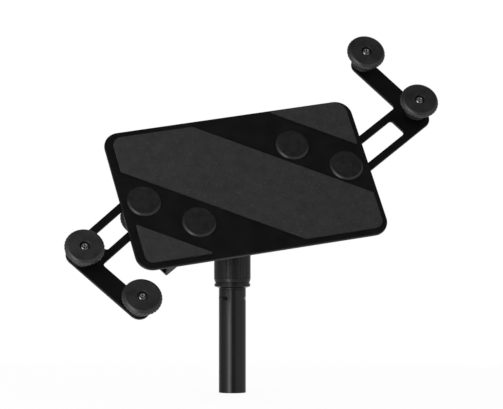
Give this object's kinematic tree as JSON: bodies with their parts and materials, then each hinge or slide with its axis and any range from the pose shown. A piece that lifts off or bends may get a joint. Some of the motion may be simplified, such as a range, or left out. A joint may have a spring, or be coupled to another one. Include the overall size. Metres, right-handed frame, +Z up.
{
  "type": "microphone stand tablet holder",
  "caption": "Tilting tablet holder on a microphone stand tube: foam padded plate, sliding L-shaped arms with grip rollers, clamp knobs, tilt head and twist clutch.",
  "frame": {"origin": "centre of the stand tube's lower cut end", "axes": "+Z up along the stand tube, the tablet plate faces -Y, +X to the right seen from the front"},
  "size_m": [0.3323, 0.1652, 0.3083],
  "materials": {
    "black_gloss_tube": "gloss black enamel on steel tube",
    "black_satin_plastic": "satin moulded black",
    "grey_nylon": "plain nylon",
    "chrome_tube": "bright plated",
    "zinc_steel": "zinc plated",
    "black_cast_metal": "satin black powder coat",
    "brass_insert": "machined",
    "black_plate_paint": "smooth satin black powder coat",
    "black_arm_paint": "smooth satin black powder coat",
    "black_cap_paint": "semi gloss black",
    "foam_rubber": "matt dark grey foam rubber",
    "black_rubber": "matt rubber"
  },
  "bodies": {
    "root": {"stand_tube": "black_gloss_tube", "clutch_base": "black_satin_plastic", "clutch_collet": "grey_nylon"},
    "clutch_nut": {"clutch_nut": "black_satin_plastic"},
    "inner_tube": {"inner_tube": "chrome_tube", "threaded_stud": "zinc_steel"},
    "lock_ring": {"lock_ring": "zinc_steel"},
    "head": {"head_socket": "black_cast_metal"},
    "knuckle": {"tilt_knuckle": "black_cast_metal", "tilt_bolt": "zinc_steel", "tilt_washers": "zinc_steel", "swivel_washer": "grey_nylon"},
    "tilt_knob": {"tilt_knob": "black_satin_plastic", "tilt_knob_insert": "brass_insert"},
    "plate": {"back_plate": "black_plate_paint", "foam_strip": "foam_rubber", "foam_corner_lower": "foam_rubber", "foam_corner_upper": "foam_rubber", "spine_channel": "black_plate_paint", "spine_bolts": "black_cap_paint", "spine_spacers": "zinc_steel", "spine_washers": "zinc_steel", "spine_nuts": "zinc_steel", "swivel_bolt": "zinc_steel", "swivel_rear_washer": "zinc_steel", "swivel_nut": "zinc_steel", "clamp_bolt_left": "black_cap_paint", "clamp_bolt_right": "black_cap_paint", "clamp_plate_left": "zinc_steel", "clamp_plate_right": "zinc_steel"},
    "clamp_knob_left": {"clamp_knob_left": "black_satin_plastic", "clamp_insert_left": "brass_insert"},
    "arm_left": {"arm_left": "black_arm_paint", "roller_spacers_left": "black_satin_plastic", "roller_bushes_left": "zinc_steel", "roller_screws_left": "zinc_steel", "roller_nuts_left": "zinc_steel"},
    "roller_left_side": {"roller_cap_left_side": "black_satin_plastic", "roller_hub_left_side": "black_rubber"},
    "roller_left_end": {"roller_cap_left_end": "black_satin_plastic", "roller_hub_left_end": "black_rubber"},
    "clamp_knob_right": {"clamp_knob_right": "black_satin_plastic", "clamp_insert_right": "brass_insert"},
    "arm_right": {"arm_right": "black_arm_paint", "roller_spacers_right": "black_satin_plastic", "roller_bushes_right": "zinc_steel", "roller_screws_right": "zinc_steel", "roller_nuts_right": "zinc_steel"},
    "roller_right_side": {"roller_cap_right_side": "black_satin_plastic", "roller_hub_right_side": "black_rubber"},
    "roller_right_end": {"roller_cap_right_end": "black_satin_plastic", "roller_hub_right_end": "black_rubber"}
  },
  "joints": [
    {"name": "height_slide", "type": "slide", "parent": "root", "child": "inner_tube", "axis": [0, 0, 1], "range_m": [0, 0.06]},
    {"name": "clutch_turn", "type": "hinge", "parent": "root", "child": "clutch_nut", "pos_m": [0, 0, 0.1], "axis": [0, 0, 1], "range_deg": [0, 120]},
    {"name": "lock_ring_turn", "type": "hinge", "parent": "inner_tube", "child": "lock_ring", "pos_m": [0, 0, 0.13], "axis": [0, 0, 1], "range_deg": [0, 180]},
    {"name": "head_turn", "type": "hinge", "parent": "inner_tube", "child": "head", "pos_m": [0, 0, 0.14], "axis": [0, 0, 1], "continuous": true},
    {"name": "plate_tilt", "type": "hinge", "parent": "head", "child": "knuckle", "pos_m": [0, -0.021, 0.1543], "axis": [1, 0, 0], "range_deg": [-55, 30.7]},
    {"name": "tilt_knob_turn", "type": "hinge", "parent": "knuckle", "child": "tilt_knob", "pos_m": [0, -0.021, 0.1543], "axis": [1, 0, 0], "range_deg": [0, 180]},
    {"name": "plate_swivel", "type": "hinge", "parent": "knuckle", "child": "plate", "pos_m": [0, -0.06399, 0.17983], "axis": [0, -0.8599, 0.5105], "continuous": true},
    {"name": "arm_slide_left", "type": "slide", "parent": "plate", "child": "arm_left", "axis": [-0.7296, -0.3491, -0.588], "range_m": [-0.036, 0.037]},
    {"name": "clamp_knob_turn_left", "type": "hinge", "parent": "plate", "child": "clamp_knob_left", "pos_m": [-0.08826, -0.07304, 0.1646], "axis": [0, -0.8599, 0.5105], "range_deg": [0, 270]},
    {"name": "roller_turn_left_side", "type": "hinge", "parent": "arm_left", "child": "roller_left_side", "pos_m": [-0.14366, -0.09818, 0.11715], "axis": [0, -0.8599, 0.5105], "continuous": true},
    {"name": "roller_turn_left_end", "type": "hinge", "parent": "arm_left", "child": "roller_left_end", "pos_m": [-0.09983, -0.12206, 0.07694], "axis": [0, -0.8599, 0.5105], "continuous": true},
    {"name": "arm_slide_right", "type": "slide", "parent": "plate", "child": "arm_right", "axis": [0.7689, 0.3264, 0.5498], "range_m": [-0.046, 0.028]},
    {"name": "clamp_knob_turn_right", "type": "hinge", "parent": "plate", "child": "clamp_knob_right", "pos_m": [0.08826, -0.05495, 0.19506], "axis": [0, -0.8599, 0.5105], "range_deg": [0, 270]},
    {"name": "roller_turn_right_side", "type": "hinge", "parent": "arm_right", "child": "roller_right_side", "pos_m": [0.15536, -0.02476, 0.24081], "axis": [0, -0.8599, 0.5105], "continuous": true},
    {"name": "roller_turn_right_end", "type": "hinge", "parent": "arm_right", "child": "roller_right_end", "pos_m": [0.11438, 0.0004, 0.28319], "axis": [0, -0.8599, 0.5105], "continuous": true}
  ]
}
